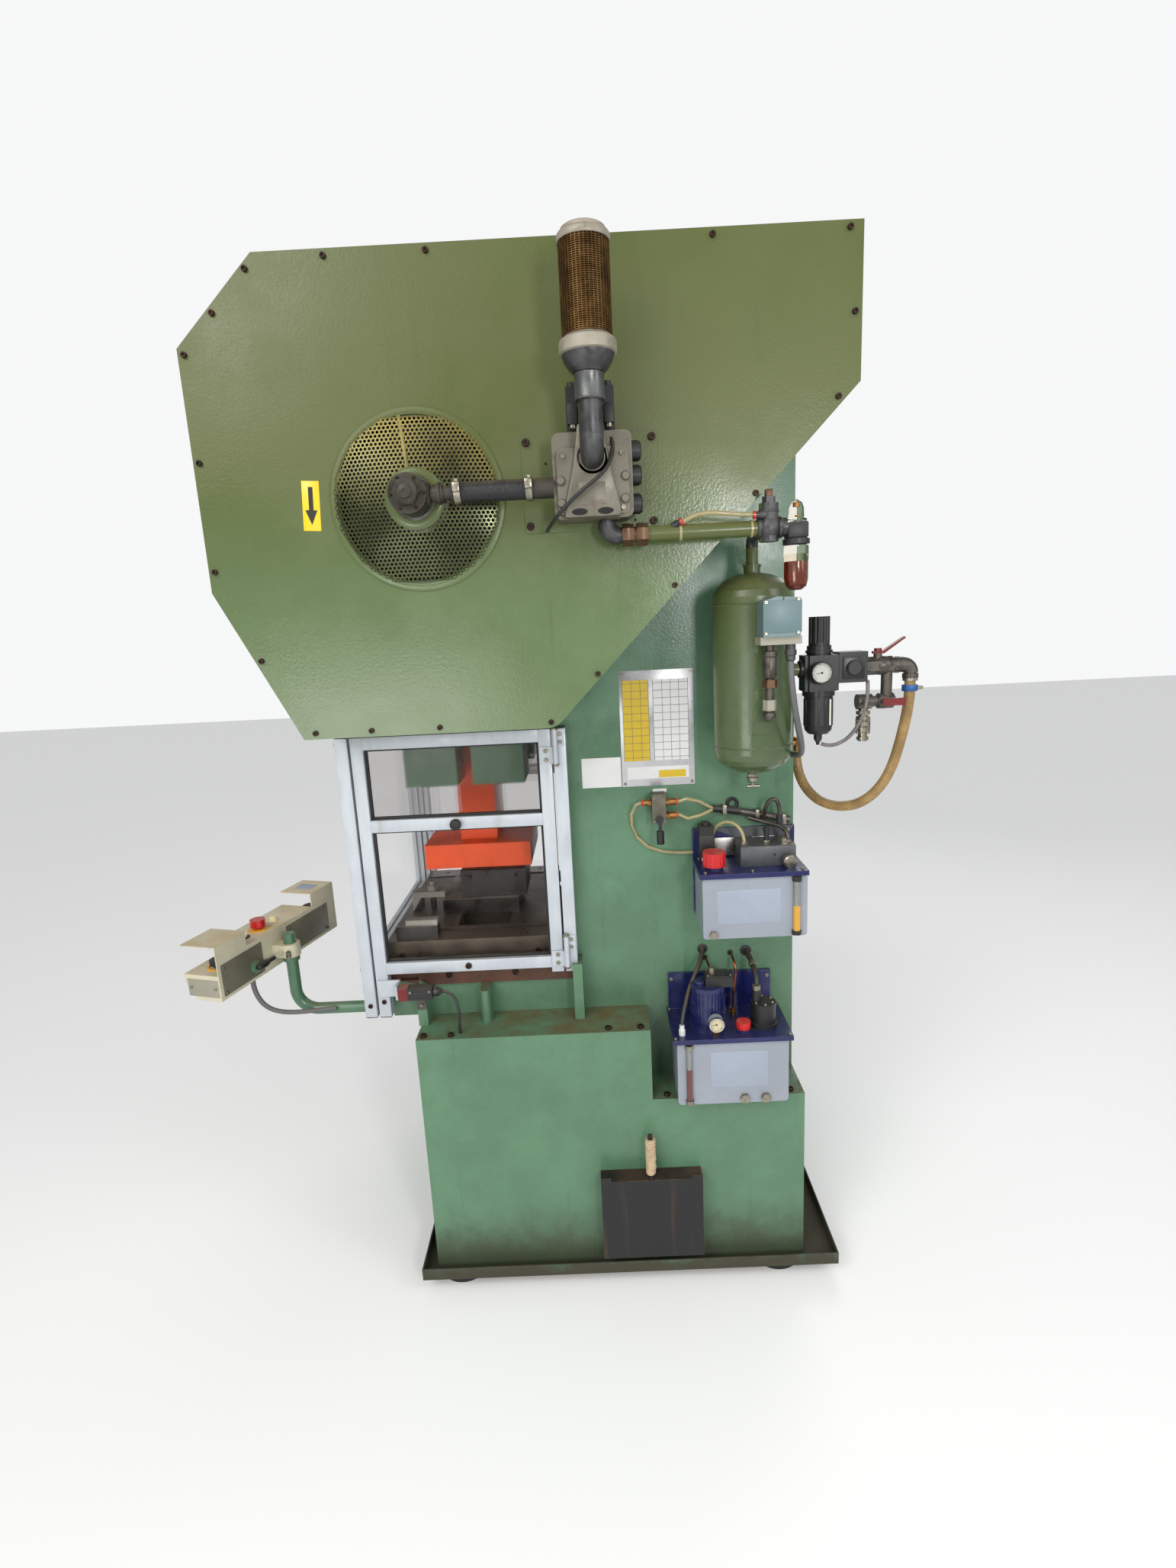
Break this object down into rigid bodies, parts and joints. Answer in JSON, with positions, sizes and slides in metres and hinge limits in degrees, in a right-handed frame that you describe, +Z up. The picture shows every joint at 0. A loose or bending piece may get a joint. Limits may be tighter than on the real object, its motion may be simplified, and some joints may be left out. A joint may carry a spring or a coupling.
{
  "type": "mechanical stamping press",
  "caption": "C-frame mechanical stamping press with flywheel guard, pneumatic clutch valve, guarded throat, two-hand console and stepped base in a drip tray.",
  "frame": {"origin": "middle of the machine's footprint box on the floor, without its supply hose", "axes": "+X from the operator's side to the back, +Y from the drive side to the far side, +Z up"},
  "size_m": [1.7834, 1.154, 2.396],
  "materials": {
    "green_paint": "semi-gloss machine green, oily",
    "foot_rubber": "matte",
    "black_sheet": "oily black with rust",
    "machined_steel": "ground, oiled",
    "bearing_bronze": "turned",
    "cast_iron": "as cast, oiled",
    "red_paint": "worn red-orange",
    "tool_steel": "oiled tool steel",
    "belt_rubber": "matte",
    "dark_metal": "dark grey",
    "hose_rubber": "matte",
    "cast_aluminium": "bead blasted",
    "silencer_bronze": "sintered, dirty",
    "black_plastic": "moulded",
    "chrome": "plated",
    "blue_grey_plastic": "moulded",
    "galvanised": "zinc plated",
    "lever_red": "dipped",
    "clear_hose": "yellowed translucent",
    "white_plastic": "moulded",
    "red_plastic": "moulded",
    "tube_dark": "tubing",
    "profile_aluminium": "anodised",
    "tinted_pane": "tinted clear sheet",
    "cream_paint": "cream enamel",
    "button_red": "moulded",
    "button_white": "moulded"
  },
  "bodies": {
    "frame": {"levelling_feet": "foot_rubber", "drip_tray": "green_paint", "base_near_plate": "green_paint", "base_plates": "green_paint", "side_plates": "green_paint", "frame_plates": "green_paint", "bed_table": "green_paint", "bolster": "machined_steel", "ram_gibs": "green_paint", "main_bearings": "bearing_bronze", "brake_caliper": "cast_iron", "motor": "green_paint", "v_belts": "belt_rubber", "lower_tooling": "tool_steel", "guard_rim": "green_paint", "guard_panel": "green_paint", "vent_cone": "green_paint", "rotary_union": "dark_metal", "union_hose": "hose_rubber", "valve_plate": "green_paint", "air_valve": "cast_aluminium", "silencer": "silencer_bronze", "air_line": "green_paint", "lubricator": "black_plastic", "air_tank": "green_paint", "pressure_switch": "blue_grey_plastic", "filter_regulator": "black_plastic", "inlet_pipework": "galvanised", "supply_hose": "clear_hose", "upper_lube_unit": "white_plastic", "lower_lube_unit": "white_plastic", "filler_caps": "red_plastic", "hand_valve": "cast_aluminium", "lube_lines": "tube_dark", "fixed_guards": "profile_aluminium", "fixed_panes": "tinted_pane", "safety_switch": "black_plastic", "console_post": "green_paint"},
    "crankshaft": {"crankshaft": "machined_steel", "clutch_and_brake": "cast_iron"},
    "rod": {"connecting_rod": "cast_iron", "adjusting_screw": "machined_steel"},
    "ram": {"ram": "red_paint", "upper_die": "tool_steel"},
    "flywheel": {"flywheel": "cast_iron", "flywheel_bearings": "machined_steel"},
    "motor_rotor": {"motor_pulley": "cast_iron"},
    "hopper": {"scrap_hopper": "black_sheet"},
    "door": {"guard_door": "profile_aluminium", "guard_panes": "tinted_pane"},
    "console": {"console": "cream_paint"},
    "palm_near": {"palm_button_near": "black_plastic"},
    "palm_far": {"palm_button_far": "black_plastic"},
    "stop": {"stop_button": "button_red"},
    "start": {"start_button": "button_white"},
    "upper_valve": {"upper_valve_lever": "lever_red"},
    "lower_valve": {"lower_valve_lever": "lever_red"},
    "knob": {"regulator_knob": "black_plastic"},
    "tap": {"drain_tap": "chrome"},
    "hand_lever": {"hand_valve_lever": "black_plastic"}
  },
  "joints": [
    {"name": "crank_turn", "type": "hinge", "parent": "frame", "child": "crankshaft", "pos_m": [-0.15828, 0.122, 1.94], "axis": [0, 1, 0], "range_deg": [0, 180]},
    {"name": "rod_swing", "type": "hinge", "parent": "crankshaft", "child": "rod", "pos_m": [-0.15828, 0.122, 1.91], "axis": [0, 1, 0], "range_deg": [-180.5, 0]},
    {"name": "ram_slide", "type": "slide", "parent": "frame", "child": "ram", "axis": [0, 0, 1], "range_m": [0, 0.0601]},
    {"name": "flywheel_turn", "type": "hinge", "parent": "frame", "child": "flywheel", "pos_m": [-0.15828, 0.122, 1.94], "axis": [0, 1, 0], "continuous": true},
    {"name": "motor_turn", "type": "hinge", "parent": "frame", "child": "motor_rotor", "pos_m": [0.53172, 0.122, 2.237], "axis": [0, 1, 0], "continuous": true},
    {"name": "hopper_tilt", "type": "hinge", "parent": "frame", "child": "hopper", "pos_m": [0.26172, -0.306, 0.086], "axis": [1, 0, 0], "range_deg": [0, 30]},
    {"name": "door_swing", "type": "hinge", "parent": "frame", "child": "door", "pos_m": [0.07772, -0.226, 1.1], "axis": [0, 0, 1], "range_deg": [0, 100]},
    {"name": "console_swivel", "type": "hinge", "parent": "frame", "child": "console", "pos_m": [-0.69128, -0.038, 0.848], "axis": [0, 0, 1], "range_deg": [-30, 45]},
    {"name": "palm_near_press", "type": "slide", "parent": "console", "child": "palm_near", "axis": [0, 0, -1], "range_m": [0, 0.006], "stiffness_N_per_m": 500, "springref_m": -0.006},
    {"name": "palm_far_press", "type": "slide", "parent": "console", "child": "palm_far", "axis": [0, 0, -1], "range_m": [0, 0.006], "stiffness_N_per_m": 500, "springref_m": -0.006},
    {"name": "stop_press", "type": "slide", "parent": "console", "child": "stop", "axis": [0, 0, -1], "range_m": [0, 0.006], "stiffness_N_per_m": 500, "springref_m": -0.006},
    {"name": "start_press", "type": "slide", "parent": "console", "child": "start", "axis": [0, 0, -1], "range_m": [0, 0.003], "stiffness_N_per_m": 300, "springref_m": -0.005},
    {"name": "upper_valve_turn", "type": "hinge", "parent": "frame", "child": "upper_valve", "pos_m": [0.80172, -0.303, 1.59], "axis": [0, 0, 1], "range_deg": [-90, 0]},
    {"name": "lower_valve_turn", "type": "hinge", "parent": "frame", "child": "lower_valve", "pos_m": [0.81472, -0.331, 1.484], "axis": [0, 1, 0], "range_deg": [0, 90]},
    {"name": "regulator_turn", "type": "hinge", "parent": "frame", "child": "knob", "pos_m": [0.67272, -0.303, 1.64], "axis": [0, 0, 1], "range_deg": [0, 350]},
    {"name": "drain_tap_turn", "type": "hinge", "parent": "frame", "child": "tap", "pos_m": [0.53172, -0.278, 1.3], "axis": [0, 0, 1], "range_deg": [0, 180]},
    {"name": "hand_valve_turn", "type": "hinge", "parent": "frame", "child": "hand_lever", "pos_m": [0.31972, -0.22, 1.212], "axis": [0, 1, 0], "range_deg": [0, 90]}
  ],
  "couplings": [
    {"joint": "rod_swing", "follows": "crank_turn", "ratio": -1},
    {"joint": "ram_slide", "follows": "crank_turn", "m_per_rad": 0.019099},
    {"joint": "motor_turn", "follows": "flywheel_turn", "ratio": 5.2384}
  ]
}
